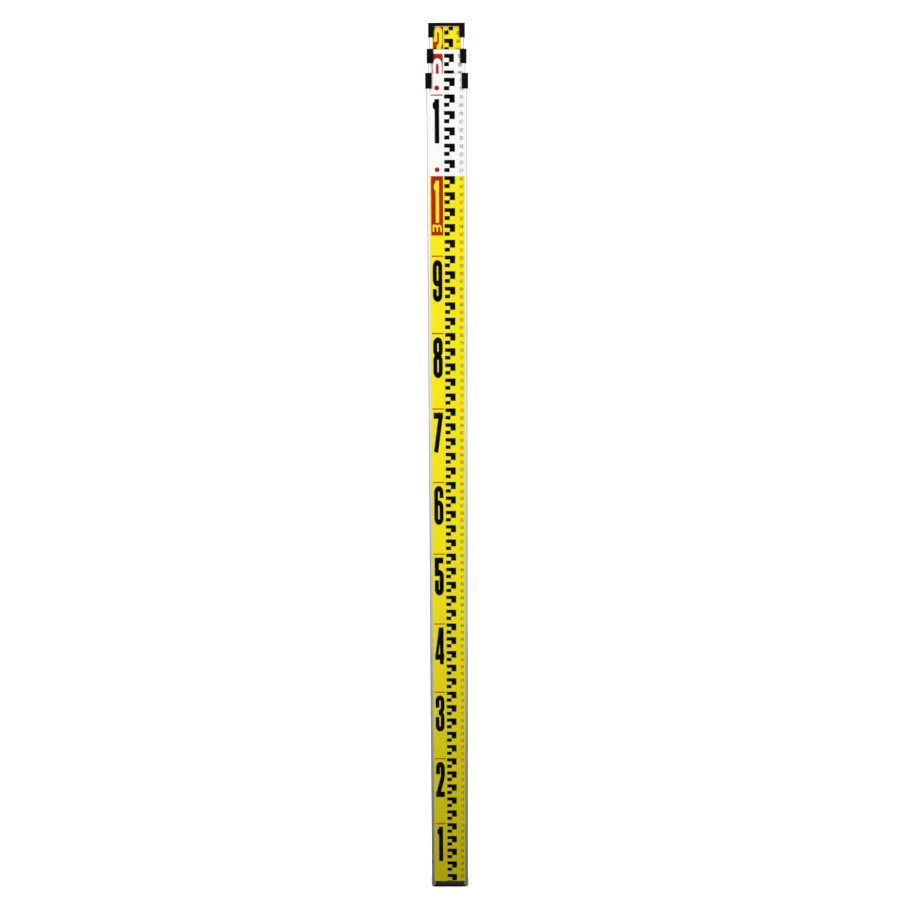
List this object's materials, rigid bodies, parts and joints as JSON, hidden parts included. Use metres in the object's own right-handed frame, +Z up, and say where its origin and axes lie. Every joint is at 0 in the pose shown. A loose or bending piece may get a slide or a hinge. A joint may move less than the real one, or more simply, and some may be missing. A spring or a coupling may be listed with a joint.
{
  "type": "leveling staff",
  "caption": "Telescopic leveling staff: nested rectangular aluminium tubes with a printed scale, black collars with latches and a flat foot.",
  "frame": {"origin": "middle of the foot's flat lower face, the zero of the scale", "axes": "+Z up the staff, -Y the way the graduated face looks, +X to the right of someone who reads it"},
  "size_m": [0.0538, 0.0391, 1.186],
  "materials": {
    "anodised_aluminium": "satin anodised extrusion",
    "yellow_scale_film": "printed yellow film, white above the metre line",
    "white_scale_film": "printed white film",
    "pale_scale_film": "printed pale film",
    "black_moulding": "black moulded plastic, finely textured",
    "lever_moulding": "black moulded plastic, smooth",
    "plug_moulding": "black moulded plastic",
    "blackened_steel": "blackened steel, worn at the edges",
    "buffer_rubber": "matt black rubber",
    "spring_steel": "bright spring strip",
    "rivet_aluminium": "bare aluminium rivets",
    "plain_steel": "plain turned steel"
  },
  "bodies": {
    "outer_section": {"outer_tube": "anodised_aluminium", "outer_front_scale": "yellow_scale_film", "outer_rear_scale": "pale_scale_film", "outer_collar": "black_moulding", "outer_collar_rivets": "rivet_aluminium", "outer_latch_pin": "plain_steel", "outer_latch_spring": "spring_steel", "foot_plug": "plug_moulding", "foot_rivets": "rivet_aluminium", "foot_plate": "blackened_steel", "foot_plate_screws": "plain_steel", "stow_buffer": "buffer_rubber"},
    "outer_latch": {"outer_latch_lever": "lever_moulding"},
    "middle_section": {"middle_tube": "anodised_aluminium", "middle_front_scale": "white_scale_film", "middle_rear_scale": "pale_scale_film", "middle_collar": "black_moulding", "middle_collar_rivets": "rivet_aluminium", "middle_latch_pin": "plain_steel", "middle_latch_spring": "spring_steel", "middle_slide_plug": "plug_moulding", "middle_plug_pins": "plain_steel", "middle_keeper": "plain_steel", "middle_keeper_rivets": "plain_steel"},
    "middle_latch": {"middle_latch_lever": "lever_moulding"},
    "top_section": {"top_tube": "anodised_aluminium", "top_front_scale": "yellow_scale_film", "top_rear_scale": "pale_scale_film", "top_cap": "black_moulding", "top_cap_rivets": "rivet_aluminium", "top_slide_plug": "plug_moulding", "top_plug_pins": "plain_steel", "top_keeper": "plain_steel", "top_keeper_rivets": "plain_steel"}
  },
  "joints": [
    {"name": "middle_slide", "type": "slide", "parent": "outer_section", "child": "middle_section", "axis": [0, 0, 1], "range_m": [0, 0.851]},
    {"name": "top_slide", "type": "slide", "parent": "middle_section", "child": "top_section", "axis": [0, 0, 1], "range_m": [0, 0.962]},
    {"name": "outer_latch_rock", "type": "hinge", "parent": "outer_section", "child": "outer_latch", "pos_m": [0, 0.0205, 1.111], "axis": [1, 0, 0], "range_deg": [0, 13], "stiffness_Nm_per_rad": 0.2, "deforming": ["outer_latch_spring"]},
    {"name": "middle_latch_rock", "type": "hinge", "parent": "middle_section", "child": "middle_latch", "pos_m": [0, 0.017, 1.14], "axis": [1, 0, 0], "range_deg": [0, 13], "stiffness_Nm_per_rad": 0.2, "deforming": ["middle_latch_spring"]}
  ]
}
